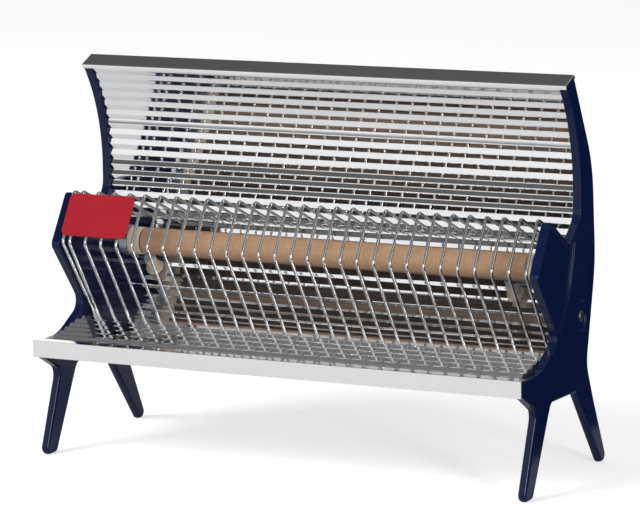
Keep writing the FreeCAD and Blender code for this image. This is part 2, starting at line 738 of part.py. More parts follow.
wall_way = unit((cover_front[4][0] - cover_front[3][0], cover_front[4][1] - cover_front[3][1]))
wall_out = Vector(0, wall_way[1], -wall_way[0])
gland_point = Vector(size("gland_place"),
                     cover_front[3][0] + GLAND_SHARE * (cover_front[4][0] - cover_front[3][0]),
                     cover_front[3][1] + GLAND_SHARE * (cover_front[4][1] - cover_front[3][1]))
floor_z = cover_front[1][1]
earth_point = Vector(size("earth_place"), BLOCK_SHARE * size("depth"), floor_z)
openings = []
for z_share in VENT_ROW_SHARES:
    for index in range(count("vent_count")):
        x = size("vent_pitch") * (index - (count("vent_count") - 1) / 2) - size("vent_length") / 2
        base = Vector(x, element_y + cap_radius + size("depth") / 5, z_share * size("height"))
        openings.append(Part.makeBox(size("vent_length"), size("depth") / 4, size("vent_height"), base))
overrun = size("overrun")
gland_start = gland_point - wall_out * overrun
openings.append(Part.makeCylinder(size("gland_neck") / 2, 2 * overrun, gland_start, wall_out))
earth_start = earth_point - Vector(0, 0, overrun)
earth_hole = (size("earth_screw_diameter") + gap) / 2
openings.append(Part.makeCylinder(earth_hole, 2 * overrun, earth_start, Vector(0, 0, 1)))
for side, sign in sides:
    base = Vector(sign * inner_x - size("panel_thickness"), screw_y, screw_z)
    radius = size("side_screw_diameter") / 2 + gap
    openings.append(Part.makeCylinder(radius, 2 * size("panel_thickness"), base, along_x))
cover_cuts = shaped("cover_cuts", Part.Compound(openings))
nodes.append(cut("rear_cover", cover_body, cover_cuts))

# Cord gland: a rubber bush in the lower back of the cover, with the lead's passage.
flange_height = size("gland_flange_height")
outer = cylinder("gland_outer", "Sizes.gland_flange / 2", "Sizes.gland_flange_height", gland_point, wall_out)
neck = cylinder("gland_middle", "Sizes.gland_neck / 2 - Sizes.seat_gap / 2", "Sizes.cover_sheet",
                gland_point - wall_out * size("cover_sheet"), wall_out)
inner = cylinder("gland_inner", "Sizes.gland_flange / 2", "Sizes.gland_flange_height",
                 gland_point - wall_out * (size("cover_sheet") + flange_height), wall_out)
gland_length = "2 * Sizes.gland_flange_height + Sizes.cover_sheet"
passage = cylinder("gland_passage", "Sizes.gland_bore / 2", gland_length,
                   gland_point - wall_out * (size("cover_sheet") + flange_height), wall_out)
nodes.append(cut("cord_gland", joined("gland_solid", [outer, neck, inner]), passage))

# Earth terminal: a screw that stands up through the floor of the cover.
earth_shank = cylinder("earth_shank", "Sizes.earth_screw_diameter / 2", "3 * Sizes.earth_screw_diameter",
                       earth_point, Vector(0, 0, 1))
earth_head = cylinder("earth_head", "Sizes.earth_screw_diameter", "Sizes.earth_screw_diameter / 2",
                      earth_point - Vector(0, 0, size("earth_screw_diameter") / 2), Vector(0, 0, 1))
nodes.append(joined("earth_screw", [earth_shank, earth_head]))

# Terminal block: a ceramic connector on the floor of the cover, with a clamp screw at each end.
block_base = Vector(-size("block_length") / 2, BLOCK_SHARE * size("depth") - size("block_depth") / 2,
                    floor_z + size("cover_sheet"))
block = box("block_solid", "Sizes.block_length", "Sizes.block_depth", "Sizes.block_height", block_base)
bore_level = block_base + Vector(size("block_length") / 2, size("block_depth") / 2, size("block_height") / 2)
bore_depth = size("block_length") / 3
tools = []
block_screws = []
for side, sign in sides:
    mouth = bore_level + along_x * sign * size("block_length") / 2
    tools.append(cylinder("block_bore_" + side, "Sizes.block_bore / 2", "Sizes.block_length / 3",
                          mouth, along_x * -sign))
    well = mouth - along_x * sign * bore_depth / 2
    tools.append(cylinder("block_well_" + side, "Sizes.block_screw_diameter / 2 + Sizes.seat_gap / 2",
                          "Sizes.block_height / 2", well, Vector(0, 0, 1)))
    pole = bore_level + Vector(sign * size("block_pole_pitch") / 2, size("block_depth") / 2, 0)
    tools.append(cylinder("block_pole_" + side, "Sizes.block_bore / 2", "Sizes.block_depth / 3",
                          pole, Vector(0, -1, 0)))
    block_screws.append(cylinder("block_screw_" + side, "Sizes.block_screw_diameter / 2",
                                 "(Sizes.block_height - Sizes.lead_diameter) / 2",
                                 well + Vector(0, 0, size("lead_diameter") / 2), Vector(0, 0, 1)))
nodes.append(cut("terminal_block", block, joined("block_tools", tools)))
nodes.append(group("block_screws", block_screws))


# Internal leads: sleeved wires from the lugs down to the terminal block.
def lead_shape(points, radius):
    """A tube on straight runs and tangent arcs, each arc as large as its runs allow."""
    path = []
    at = points[0]
    for last, here, following in zip(points, points[1:], points[2:]):
        back = (last - here).normalize()
        ahead = (following - here).normalize()
        reach = 0.45 * min((last - here).Length, (following - here).Length)
        opening = back.getAngle(ahead)
        bend = reach * math.tan(opening / 2)
        print("lead bend radius %.1f mm" % bend)
        middle = here + (back + ahead).normalize() * (bend / math.sin(opening / 2) - bend)
        path.append(Part.LineSegment(at, here + back * reach).toShape())
        path.append(Part.Arc(here + back * reach, middle, here + ahead * reach).toShape())
        at = here + ahead * reach
    path.append(Part.LineSegment(at, points[-1]).toShape())
    section = Part.Wire([Part.Circle(points[0], points[1] - points[0], radius).toShape()])
    return Part.Wire(path).makePipeShell([section], True, False)


for side, sign, start in leads:
    end = bore_level + along_x * sign * (size("block_length") / 2 - bore_depth)
    span = end - start
    route = [start + Vector(span.x * x, span.y * y, span.z * z) for x, y, z in LEAD_SHARES]
    nodes.append(shaped("lead_" + side, lead_shape(route, size("lead_diameter") / 2)))

# Side screws: each passes through a panel into the end wall of the cover.
screws = []
screw_nuts = []
for side, sign in sides:
    seat = Vector(sign * (half_width - size("dish_depth")), screw_y, screw_z)
    outward = along_x * sign
    head = cylinder("side_head_" + side, "Sizes.side_screw_head / 2", "Sizes.side_screw_head_height",
                    seat, outward)
    wall_face = inner_x - gap - size("cover_sheet")
    reach = half_width - size("dish_depth") - wall_face + size("nut_height") + size("overrun")
    shank = cylinder("side_shank_" + side, "Sizes.side_screw_diameter / 2", "%r mm" % reach,
                     seat, outward * -1)
    screws.append(joined("side_screw_" + side, [head, shank]))
    nut = doc.addObject("Part::Prism", "side_hex_" + side)
    nut.Polygon = 6
    nut.setExpression("Circumradius", "Sizes.nut_flats / sqrt(3)")
    nut.setExpression("Height", "Sizes.nut_height")
    nut_seat = Vector(sign * wall_face, screw_y, screw_z)
    nut.Placement = Placement(nut_seat, Rotation(Vector(0, 0, 1), outward * -1))
    bore = cylinder("side_bore_" + side, "Sizes.side_screw_diameter / 2 + Sizes.seat_gap / 2",
                    "Sizes.nut_height", nut_seat, outward * -1)
    screw_nuts.append(cut("side_nut_" + side, nut, bore))
nodes.append(group("side_screws", screws))
nodes.append(group("side_nuts", screw_nuts))

# Badge: a bare plate on the front of the guard, held by a strip behind the wires.
nose = wire_corners[2]
crest = wire_corners[1]
rise = unit((crest[0] - nose[0], crest[1] - nose[1]))
badge_turn = Rotation(Vector(1, 0, 0), math.degrees(math.atan2(rise[1], rise[0])))
run = math.dist(nose, crest)
badge_height = (BADGE_SPAN_SHARES[1] - BADGE_SPAN_SHARES[0]) * run
badge_x = -inner_x + 2 * gap


def on_badge(x, up, out):
    """A point of the badge's plane: along the heater, up the wires, and out from their middle."""
    return Vector(badge_x + x, nose[0], nose[1]) + badge_turn.multVec(Vector(0, up, out))


badge = new_body("badge_plate")
length = size("badge_length")
rounding = size("badge_corner")
badge_corners = [(0.0, 0.0, rounding), (length, 0.0, rounding), (length, badge_height, rounding),
                 (0.0, badge_height, rounding)]
pad(badge, rounded(badge_corners, True), "badge_face", "Sizes.badge_sheet", role="XY_Plane")
badge.Placement = Placement(on_badge(0, BADGE_SPAN_SHARES[0] * run, wire_radius + gap / 2), badge_turn)
nodes.append(badge)

strip_low = (BADGE_SPAN_SHARES[0] + BADGE_SPAN_SHARES[1]) / 2 * run - size("badge_strip_width") / 2
strip_out = -wire_radius - gap / 2 - size("badge_sheet")
rivet_places = [(a + b) / 2 - badge_x for a, b in zip(wire_places, wire_places[1:])]
rivet_places = [x for x in rivet_places if x < size("badge_length") - size("badge_corner")]
rivet_places = [rivet_places[0], rivet_places[-1]]
strip_start = rivet_places[0] - size("badge_rivet_head")
strip_long = rivet_places[-1] - rivet_places[0] + 2 * size("badge_rivet_head")
holder = box("strip_solid", "%r mm" % strip_long, "Sizes.badge_strip_width", "Sizes.badge_sheet",
             on_badge(strip_start, strip_low, strip_out), badge_turn)
rivets = []
strip_holes = []
badge_out = badge_turn.multVec(Vector(0, 0, 1))
for index, x in enumerate(rivet_places):
    level = strip_low + size("badge_strip_width") / 2
    foot = on_badge(x, level, strip_out)
    reach = "Sizes.badge_sheet + Sizes.wire_diameter + Sizes.seat_gap"
    shank = cylinder("rivet_shank_%d" % index, "Sizes.badge_rivet_diameter / 2", reach, foot, badge_out)
    head = cylinder("rivet_head_%d" % index, "Sizes.badge_rivet_head / 2", "Sizes.badge_sheet",
                    foot - badge_out * size("badge_sheet"), badge_out)
    rivets.append(joined("rivet_%d" % index, [shank, head]))
    strip_holes.append(cylinder("strip_hole_%d" % index, "(Sizes.badge_rivet_diameter + Sizes.seat_gap) / 2",
                                "Sizes.badge_sheet", foot, badge_out))
nodes.append(cut("badge_strip", holder, joined("strip_tools", strip_holes)))
nodes.append(group("badge_rivets", rivets))

doc.recompute()
for item in doc.Objects:
    if "Invalid" in item.State or "Error" in item.State:
        raise RuntimeError(item.Label + " failed: " + ", ".join(item.State))
for node in nodes:
    if node.Shape.isNull() or not node.Shape.isValid():
        raise RuntimeError(node.Label + " has no valid shape")
os.makedirs("parts", exist_ok=True)
for node in nodes:
    node.Shape.exportStep("parts/" + node.Label + ".step")
    print("%-20s %3d solids %10.1f mm3" % (node.Label, len(node.Shape.Solids), node.Shape.Volume))
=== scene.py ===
import math

import bpy
from mathutils import Matrix, Vector


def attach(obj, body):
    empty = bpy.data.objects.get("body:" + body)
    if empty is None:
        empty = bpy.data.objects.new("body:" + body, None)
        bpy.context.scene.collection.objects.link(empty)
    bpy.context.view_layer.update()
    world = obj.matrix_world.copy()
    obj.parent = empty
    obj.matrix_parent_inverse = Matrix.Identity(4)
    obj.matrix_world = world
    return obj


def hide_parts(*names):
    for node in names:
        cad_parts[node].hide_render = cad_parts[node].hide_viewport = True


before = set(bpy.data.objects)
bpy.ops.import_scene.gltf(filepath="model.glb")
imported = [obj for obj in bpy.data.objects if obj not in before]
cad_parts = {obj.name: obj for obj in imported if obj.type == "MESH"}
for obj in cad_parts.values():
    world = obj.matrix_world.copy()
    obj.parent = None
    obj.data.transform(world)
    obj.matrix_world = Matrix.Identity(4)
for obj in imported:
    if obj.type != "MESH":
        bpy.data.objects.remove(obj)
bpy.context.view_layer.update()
MM = 0.001

# Places and sizes from the construction, in millimetres. A corner is (y, z, radius of its bend).
ELEMENT_Y, ELEMENT_Z = 3.04, 161.424
WIRE_CORNERS = [(41.04, 173.22, 0.0), (-24.48, 202.92, 3.5), (-47.6, 165.53, 5.0),
                (-4.96, 99.41, 0.0)]
WIRE_RADIUS = 1.2
WIRE_SIDES = 16
WIRE_COUNT = 29
WIRE_MIDDLE = 3.0
WIRE_PITCH = 13.85
LEAN_FOOT = -193.6
LEAN_HEAD = -198.5
LEAN_FORWARD = 0.15
SHEET_CORNERS = [(10.2, 297.62, 0.0), (36.4, 259.01, 133.0), (36.4, 112.02, 58.3),
                 (-78.56, 88.92, 0.0)]
SHEET_HALF_LENGTH = 199.7
SHEET_THICKNESS = 0.5
RIBS = 35
ROWS_PER_RIB = 24
WINDING_TURNS = 300
STEPS_PER_TURN = 14
WINDING_FROM, WINDING_TO = -150.6, 178.6
WINDING_RADIUS = 10.4
WINDING_WIRE = 0.5
FORMER_RADIUS = 10.1
FORMER_LENGTH = 331.4
FORMER_MIDDLE = 14.0
FORMER_WALL = 1.6

# Ribs from the sheet's top edge down: share of the run, lean in degrees of the faces that look
# down, and the share of each rib that looks up.
RIB_FORMS = [(0.0, 8.0, 0.51), (0.133, 14.0, 0.51), (0.19, 19.0, 0.51), (0.257, 23.0, 0.51),
             (0.36, 22.0, 0.51), (0.46, 16.0, 0.50), (0.525, 11.0, 0.58), (0.59, 9.0, 0.64),
             (0.618, 6.5, 0.50), (0.647, 10.0, 0.38), (0.68, 10.0, 0.35), (0.72, 14.0, 0.45),
             (0.76, 20.0, 0.50), (0.82, 24.0, 0.50), (1.0, 24.0, 0.50)]

# The panels' edges are eased fully on the legs and by a share of that above them.
PANEL_EASE = 2.7
PANEL_SHARP = 28.0
UPPER_EASE_SHARE = 0.33
LEG_TOP = 76.0
LEG_BLEND = 20.0

# The rod keeps its lit brown where it faces forward and a little up, with painted half shade at
# its sides and painted shade behind.
LIT_WAY = (0.985, 0.174)
LIT_LIMIT = 0.3
HALF_SHADE_LIMIT = 0.0


# Modelling helpers.
def pick(*pieces):
    if bpy.context.object and bpy.context.object.mode != "OBJECT":
        bpy.ops.object.mode_set(mode="OBJECT")
    bpy.ops.object.select_all(action="DESELECT")
    for piece in pieces:
        piece.select_set(True)
    if pieces:
        bpy.context.view_layer.objects.active = pieces[0]


def settle(piece):
    """Puts a piece's place into its mesh."""
    pick(piece)
    bpy.ops.object.transform_apply(location=True, rotation=True, scale=True)


def smooth(piece, degrees=35.0):
    pick(piece)
    bpy.ops.object.shade_smooth_by_angle(angle=math.radians(degrees))


def apply_modifier(piece, kind, **settings):
    modifier = piece.modifiers.new(kind.lower(), kind)
    for key, value in settings.items():
        setattr(modifier, key, value)
    pick(piece)
    bpy.ops.object.modifier_apply(modifier=modifier.name)


def face_outward(piece):
    pick(piece)
    bpy.ops.object.mode_set(mode="EDIT")
    bpy.ops.mesh.select_all(action="SELECT")
    bpy.ops.mesh.normals_make_consistent(inside=False)
    bpy.ops.object.mode_set(mode="OBJECT")


def shade_evenly(piece):
    """Smooth eased edges between faces that stay flat."""
    smooth(piece)
    apply_modifier(piece, "WEIGHTED_NORMAL", keep_sharp=True, weight=100)


def copy_of(node, name):
    """A merged copy of a CAD node, with flat faces made whole again."""
    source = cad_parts[node]
    piece = bpy.data.objects.new(name, source.data.copy())
    bpy.context.scene.collection.objects.link(piece)
    pick(piece)
    bpy.ops.object.mode_set(mode="EDIT")
    bpy.ops.mesh.select_all(action="SELECT")
    bpy.ops.mesh.remove_doubles(threshold=0.00001)
    bpy.ops.mesh.dissolve_limited(angle_limit=math.radians(0.4))
    face_outward(piece)
    bpy.ops.mesh.customdata_custom_splitnormals_clear()
    return piece


def softened(node, width, segments=3, limit=35.0):
    """A CAD node's shape with its sharp edges eased, standing for that node."""
    piece = copy_of(node, node + "_eased")
    apply_modifier(piece, "BEVEL", width=width * MM, segments=segments, limit_method="ANGLE",
                   angle_limit=math.radians(limit), miter_outer="MITER_ARC")
    shade_evenly(piece)
    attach(piece, "root")
    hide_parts(node)
    return piece


def unit(a, b):
    length = math.dist(a, b)
    return (b[0] - a[0]) / length, (b[1] - a[1]) / length


def rounded_run(corners, steps):
    """Points of a side-view run whose corners are arcs."""
    points = [corners[0][:2]]
    for last, here, following in zip(corners, corners[1:], corners[2:]):
        back, ahead = unit(here[:2], last[:2]), unit(here[:2], following[:2])
        opening = math.acos(back[0] * ahead[0] + back[1] * ahead[1])
        reach = here[2] / math.tan(opening / 2)
        start = (here[0] + back[0] * reach, here[1] + back[1] * reach)
        middle = unit((0, 0), (back[0] + ahead[0], back[1] + ahead[1]))
        centre_at = here[2] / math.sin(opening / 2)
        centre = (here[0] + middle[0] * centre_at, here[1] + middle[1] * centre_at)
        turn = math.pi - opening
        side = -1.0 if back[0] * ahead[1] - back[1] * ahead[0] > 0 else 1.0
        for step in range(steps + 1):
            angle = side * turn * step / steps
            dy, dz = start[0] - centre[0], start[1] - centre[1]
            points.append((centre[0] + dy * math.cos(angle) - dz * math.sin(angle),
                           centre[1] + dy * math.sin(angle) + dz * math.cos(angle)))
    points.append(corners[-1][:2])
    return points


def tube(name, points, radius, sides):
    """A round bar along points, as a closed mesh."""
    data = bpy.data.curves.new(name, "CURVE")
    data.dimensions = "3D"
    data.bevel_depth = radius * MM
    data.bevel_resolution = max(0, sides // 4 - 1)
    data.use_fill_caps = True
    spline = data.splines.new("POLY")
    spline.points.add(len(points) - 1)
    for spot, point in zip(spline.points, points):
        spot.co = (point[0] * MM, point[1] * MM, point[2] * MM, 1.0)
    piece = bpy.data.objects.new(name, data)
    bpy.context.scene.collection.objects.link(piece)
    pick(piece)
    bpy.ops.object.convert(target="MESH")
    return bpy.context.object


def joined(name, pieces):
    pick(*pieces)
    bpy.ops.object.join()
    whole = bpy.context.object
    whole.name = name
    return whole


# Camera at the photograph's viewing angle.
CAMERA_AZIMUTH, CAMERA_ELEVATION, CAMERA_ROLL = 27.0, 10.037, -1.0
CAMERA_PLACE = (1.25351, -2.45238, 0.64047)
CAMERA_SENSOR = 36.0
CAMERA_LENS = 204.78


def add_camera():
    azimuth, elevation = math.radians(CAMERA_AZIMUTH), math.radians(CAMERA_ELEVATION)
    roll = math.radians(CAMERA_ROLL)
    back = Vector((math.sin(azimuth) * math.cos(elevation),
                   -math.cos(azimuth) * math.cos(elevation), math.sin(elevation)))
    right = Vector((0, 0, 1)).cross(back).normalized()
    up = back.cross(right)
    level = right * math.cos(roll) + up * math.sin(roll)
    upright = up * math.cos(roll) - right * math.sin(roll)
    data = bpy.data.cameras.new("photo_camera")
    data.sensor_width = CAMERA_SENSOR
    data.lens = CAMERA_LENS
    camera = bpy.data.objects.new("photo_camera", data)
    bpy.context.scene.collection.objects.link(camera)
    turn = Matrix((level, upright, back)).transposed().to_4x4()
    camera.matrix_world = Matrix.Translation(CAMERA_PLACE) @ turn
    bpy.context.scene.camera = camera


# Finishes. The Mix node's sockets go by number: first and second value, and the result.
MIX_VALUES = (2, 3, 0)
MIX_COLOURS = (6, 7, 2)
RELIEF_DEPTH = 0.0004


def new_group(name, inputs, outputs):
    group = bpy.data.node_groups.new(name, "ShaderNodeTree")
    for label, kind, value in inputs:
        socket = group.interface.new_socket(label, in_out="INPUT", socket_type=kind)
        if value is not None:
            socket.default_value = value
    for label, kind in outputs:
        group.interface.new_socket(label, in_out="OUTPUT", socket_type=kind)
    return group, group.nodes.new("NodeGroupInput"), group.nodes.new("NodeGroupOutput")


def surface_age_group():
    """Broad handling marks and fine scratches, as a mask from 0 to 1 and a height."""
    group, given, result = new_group(
        "surface_age",
        [("Place", "NodeSocketVector", None), ("Broad", "NodeSocketFloat", 30.0),
         ("Fine", "NodeSocketFloat", 600.0), ("Balance", "NodeSocketFloat", 0.5)],
        [("Mask", "NodeSocketFloat"), ("Height", "NodeSocketFloat")])
    broad = group.nodes.new("ShaderNodeTexNoise")
    broad.inputs["Detail"].default_value = 5.0
    fine = group.nodes.new("ShaderNodeTexNoise")
    fine.inputs["Detail"].default_value = 3.0
    blend = group.nodes.new("ShaderNodeMix")
    first, second, mixed = MIX_VALUES
    spread = group.nodes.new("ShaderNodeMapRange")
    spread.inputs["From Min"].default_value = 0.3
    spread.inputs["From Max"].default_value = 0.7
    link = group.links.new
    link(given.outputs["Place"], broad.inputs["Vector"])
    link(given.outputs["Place"], fine.inputs["Vector"])
    link(given.outputs["Broad"], broad.inputs["Scale"])
    link(given.outputs["Fine"], fine.inputs["Scale"])
    link(given.outputs["Balance"], blend.inputs[0])
    link(broad.outputs["Fac"], blend.inputs[first])
    link(fine.outputs["Fac"], blend.inputs[second])
    link(blend.outputs[mixed], spread.inputs["Value"])
    link(spread.outputs["Result"], result.inputs["Mask"])
    link(fine.outputs["Fac"], result.inputs["Height"])
    return group


SURFACE_AGE = surface_age_group()


def finish(name, low, high, rough, metallic=0.0, broad=30.0, fine=600.0, balance=0.5, bump=0.05,
           stretch=(1.0, 1.0, 1.0), specular=0.5):
    """A procedural finish: two tones and a range of roughness spread by the surface's age."""
    material = bpy.data.materials.new(name)
    material.use_nodes = True
    nodes, link = material.node_tree.nodes, material.node_tree.links.new
    shader = nodes["Principled BSDF"]
    shader.inputs["Metallic"].default_value = metallic
    shader.inputs["Specular IOR Level"].default_value = specular
    place = nodes.new("ShaderNodeTexCoord")
    mapping = nodes.new("ShaderNodeMapping")
    mapping.inputs["Scale"].default_value = stretch
    age = nodes.new("ShaderNodeGroup")
    age.node_tree = SURFACE_AGE
    age.inputs["Broad"].default_value = broad
    age.inputs["Fine"].default_value = fine
    age.inputs["Balance"].default_value = balance
    tone = nodes.new("ShaderNodeMix")
    tone.data_type = "RGBA"
    first, second, mixed = MIX_COLOURS
    tone.inputs[first].default_value = (*low, 1.0)
    tone.inputs[second].default_value = (*high, 1.0)
    dull = nodes.new("ShaderNodeMapRange")
    dull.inputs["To Min"].default_value = rough[0]
    dull.inputs["To Max"].default_value = rough[1]
    relief = nodes.new("ShaderNodeBump")
    relief.inputs["Strength"].default_value = bump
    relief.inputs["Distance"].default_value = RELIEF_DEPTH
    link(place.outputs["Object"], mapping.inputs["Vector"])
    link(mapping.outputs["Vector"], age.inputs["Place"])
    link(age.outputs["Mask"], tone.inputs[0])
    link(tone.outputs[mixed], shader.inputs["Base Color"])
    link(age.outputs["Mask"], dull.inputs["Value"])
    link(dull.outputs["Result"], shader.inputs["Roughness"])
    link(age.outputs["Height"], relief.inputs["Height"])
    link(relief.outputs["Normal"], shader.inputs["Normal"])
    return material


NAVY = finish("navy_moulding", (0.0012, 0.0055, 0.034), (0.0020, 0.0085, 0.048), (0.13, 0.20),
              broad=18.0, fine=900.0, balance=0.35, bump=0.03, specular=0.26)
MIRROR = finish("mirror_sheet", (0.78, 0.785, 0.795), (0.88, 0.885, 0.89), (0.03, 0.07), 1.0,
                broad=9.0, fine=260.0, balance=0.3, bump=0.015, stretch=(0.25, 1.0, 1.0))
WIRE_CHROME = finish("wire_chrome", (0.48, 0.485, 0.49), (0.64, 0.645, 0.65), (0.08, 0.20), 1.0,
                     broad=60.0, bump=0.03)
TRIM_CHROME = finish("trim_chrome", (0.90, 0.90, 0.90), (0.97, 0.97, 0.96), (0.06, 0.14), 1.0,
                     broad=14.0, fine=420.0, balance=0.35, bump=0.02, stretch=(0.2, 1.0, 1.0))
CERAMIC = finish("cream_ceramic", (0.58, 0.47, 0.32), (0.76, 0.67, 0.52), (0.55, 0.78),
                 broad=90.0, fine=1200.0, bump=0.18)
# The former's dark brown is painted shade that shows in the gaps between the winding's turns.
FORMER_SHADE = finish("former_painted_shade", (0.10, 0.055, 0.035), (0.19, 0.105, 0.065), (0.6, 0.8),
             broad=120.0, bump=0.15)
WINDING_GRAIN = {"broad": 70.0, "fine": 1500.0, "balance": 0.4, "bump": 0.08}
WINDING = finish("brown_winding", (0.50, 0.31, 0.185), (0.60, 0.385, 0.235), (0.40, 0.58),
                 **WINDING_GRAIN)
# Darker copies of the winding's brown: painted half shade for the rod's sides and painted shade
# for its back.
WINDING_HALF_SHADE = finish("brown_winding_painted_half_shade", (0.28, 0.18, 0.115), (0.34, 0.22, 0.14), (0.40, 0.58),
                      **WINDING_GRAIN)
WINDING_SHADE = finish("brown_winding_painted_shade", (0.10, 0.068, 0.052), (0.14, 0.095, 0.07), (0.45, 0.62),
                      **WINDING_GRAIN)
BLUED = finish("blued_steel", (0.16, 0.19, 0.25), (0.42, 0.46, 0.52), (0.22, 0.40), 1.0,
               broad=140.0, bump=0.08)
PLAIN_STEEL = finish("plain_steel", (0.40, 0.40, 0.40), (0.56, 0.56, 0.55), (0.28, 0.44), 1.0,
                     broad=16.0, fine=500.0, balance=0.45, bump=0.06, stretch=(0.12, 1.0, 1.0))
ENAMEL = finish("red_enamel", (0.34, 0.014, 0.024), (0.40, 0.020, 0.030), (0.22, 0.34),
                broad=40.0, fine=900.0, bump=0.03, specular=0.1)
RUBBER = finish("black_rubber", (0.010, 0.010, 0.010), (0.028, 0.028, 0.028), (0.55, 0.8),
                broad=90.0, bump=0.2)
SLEEVING = finish("woven_sleeving", (0.48, 0.44, 0.36), (0.74, 0.70, 0.60), (0.75, 0.92),
                  broad=300.0, fine=2200.0, balance=0.7, bump=0.35)


def dress(piece, material):
    piece.data.materials.clear()
    piece.data.materials.append(material)


def dress_node(node, material):
    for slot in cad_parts[node].material_slots:
        slot.material = material


# End panels with eased edges, rounder on the legs.
def add_panels():
    for side in ("left", "right"):
        panel = copy_of("side_panel_" + side, "side_panel_" + side + "_moulded")
        pick(panel)
        bpy.ops.object.mode_set(mode="EDIT")
        bpy.ops.mesh.select_mode(type="EDGE")
        bpy.ops.mesh.select_all(action="DESELECT")
        bpy.ops.mesh.edges_select_sharp(sharpness=math.radians(PANEL_SHARP))
        bpy.ops.object.mode_set(mode="OBJECT")
        weights = panel.data.attributes.new("bevel_weight_edge", "FLOAT", "EDGE")
        for edge in panel.data.edges:
            if edge.select:
                height = sum(panel.data.vertices[i].co.z for i in edge.vertices) / 2 / MM
                on_leg = min(max((LEG_TOP - height) / LEG_BLEND, 0.0), 1.0)
                ease = UPPER_EASE_SHARE + (1.0 - UPPER_EASE_SHARE) * on_leg
                weights.data[edge.index].value = ease
        apply_modifier(panel, "BEVEL", width=PANEL_EASE * MM, segments=5, limit_method="WEIGHT",
                       use_clamp_overlap=False, miter_outer="MITER_ARC")
        shade_evenly(panel)
        dress(panel, NAVY)
        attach(panel, "root")
        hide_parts("side_panel_" + side)


# Reflector: one ribbed sheet with flat-faced ribs.
def run_places(points, count):
    """Even steps along a run: each one's place and the direction behind the sheet."""
    lengths = [math.dist(a, b) for a, b in zip(points, points[1:])]
    total = sum(lengths)
    places = []
    index, passed = 0, 0.0
    for step in range(count + 1):
        distance = total * step / count
        while index < len(lengths) - 1 and passed + lengths[index] < distance:
            passed += lengths[index]
            index += 1
        share = (distance - passed) / lengths[index]
        a, b = points[index], points[index + 1]
        way = unit(a, b)
        place = (a[0] + (b[0] - a[0]) * share, a[1] + (b[1] - a[1]) * share)
        places.append((place, (-way[1], way[0])))
    return places


def rib_form(share):
    """Lean and up-looking share of the rib at a share of the run."""
    for (low, lean, up), (high, next_lean, next_up) in zip(RIB_FORMS, RIB_FORMS[1:]):
        if share <= high:
            way = (share - low) / (high - low)
            return math.radians(lean + (next_lean - lean) * way), up + (next_up - up) * way


def rib_level(share, up):
    """Height from 1 to -1 on the face that looks up, then back on the one that looks down."""
    share = share % 1.0
    if share < up:
        return 1.0 - 2.0 * share / up
    return 2.0 * (share - up) / (1.0 - up) - 1.0


def eased_level(share, up):
    """The mean of five close levels, which rounds the rib's crests."""
    return sum(rib_level(share + 0.01 * k, up) for k in range(-2, 3)) / 5


def add_reflector():
    rows = RIBS * ROWS_PER_RIB
    run = rounded_run(SHEET_CORNERS, 160)
    places = run_places(run, rows)
    pitch = sum(math.dist(a, b) for a, b in zip(run, run[1:])) / RIBS
    pick()
    bpy.ops.mesh.primitive_grid_add(x_subdivisions=1, y_subdivisions=rows, size=1.0)
    sheet = bpy.context.object
    sheet.name = "reflector_sheet"
    for vertex in sheet.data.vertices:
        row = round((vertex.co.y + 0.5) * rows)
        (y, z), normal = places[row]
        lean, up = rib_form(min(row // ROWS_PER_RIB, RIBS - 1) / (RIBS - 1))
        level = eased_level(row / ROWS_PER_RIB, up)
        rise = level * math.tan(lean) * (1.0 - up) * pitch / 2
        vertex.co = (math.copysign(SHEET_HALF_LENGTH, vertex.co.x) * MM,
                     (y + normal[0] * rise) * MM, (z + normal[1] * rise) * MM)
    apply_modifier(sheet, "SOLIDIFY", thickness=SHEET_THICKNESS * MM, offset=0.0)
    face_outward(sheet)
    smooth(sheet, 12.0)
    dress(sheet, MIRROR)
    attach(sheet, "root")
    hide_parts("reflector")


# Guard: one bent wire, copied along the heater, and a leaning one at the left end.
def add_guard():
    run = rounded_run(WIRE_CORNERS, 9)
    wires = []
    for i in range(WIRE_COUNT):
        x = WIRE_MIDDLE + WIRE_PITCH * (i - WIRE_COUNT // 2)
        wires.append(tube("guard_wire_%02d" % i, [(x, y, z) for y, z in run],
                          WIRE_RADIUS, WIRE_SIDES))
    foot, head = WIRE_CORNERS[3][1], WIRE_CORNERS[1][1]
    lean = math.atan2(LEAN_FOOT - LEAN_HEAD, head - foot)
    leaning = [(LEAN_FOOT - (z - foot) * math.sin(lean), y - LEAN_FORWARD,
                foot + (z - foot) * math.cos(lean)) for y, z in run]
    wires.append(tube("guard_wire_leaning", leaning, WIRE_RADIUS, WIRE_SIDES))
    guard = joined("guard_wires_bright", wires)
    smooth(guard, 40.0)
    dress(guard, WIRE_CHROME)
    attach(guard, "root")
    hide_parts("guard_wires")
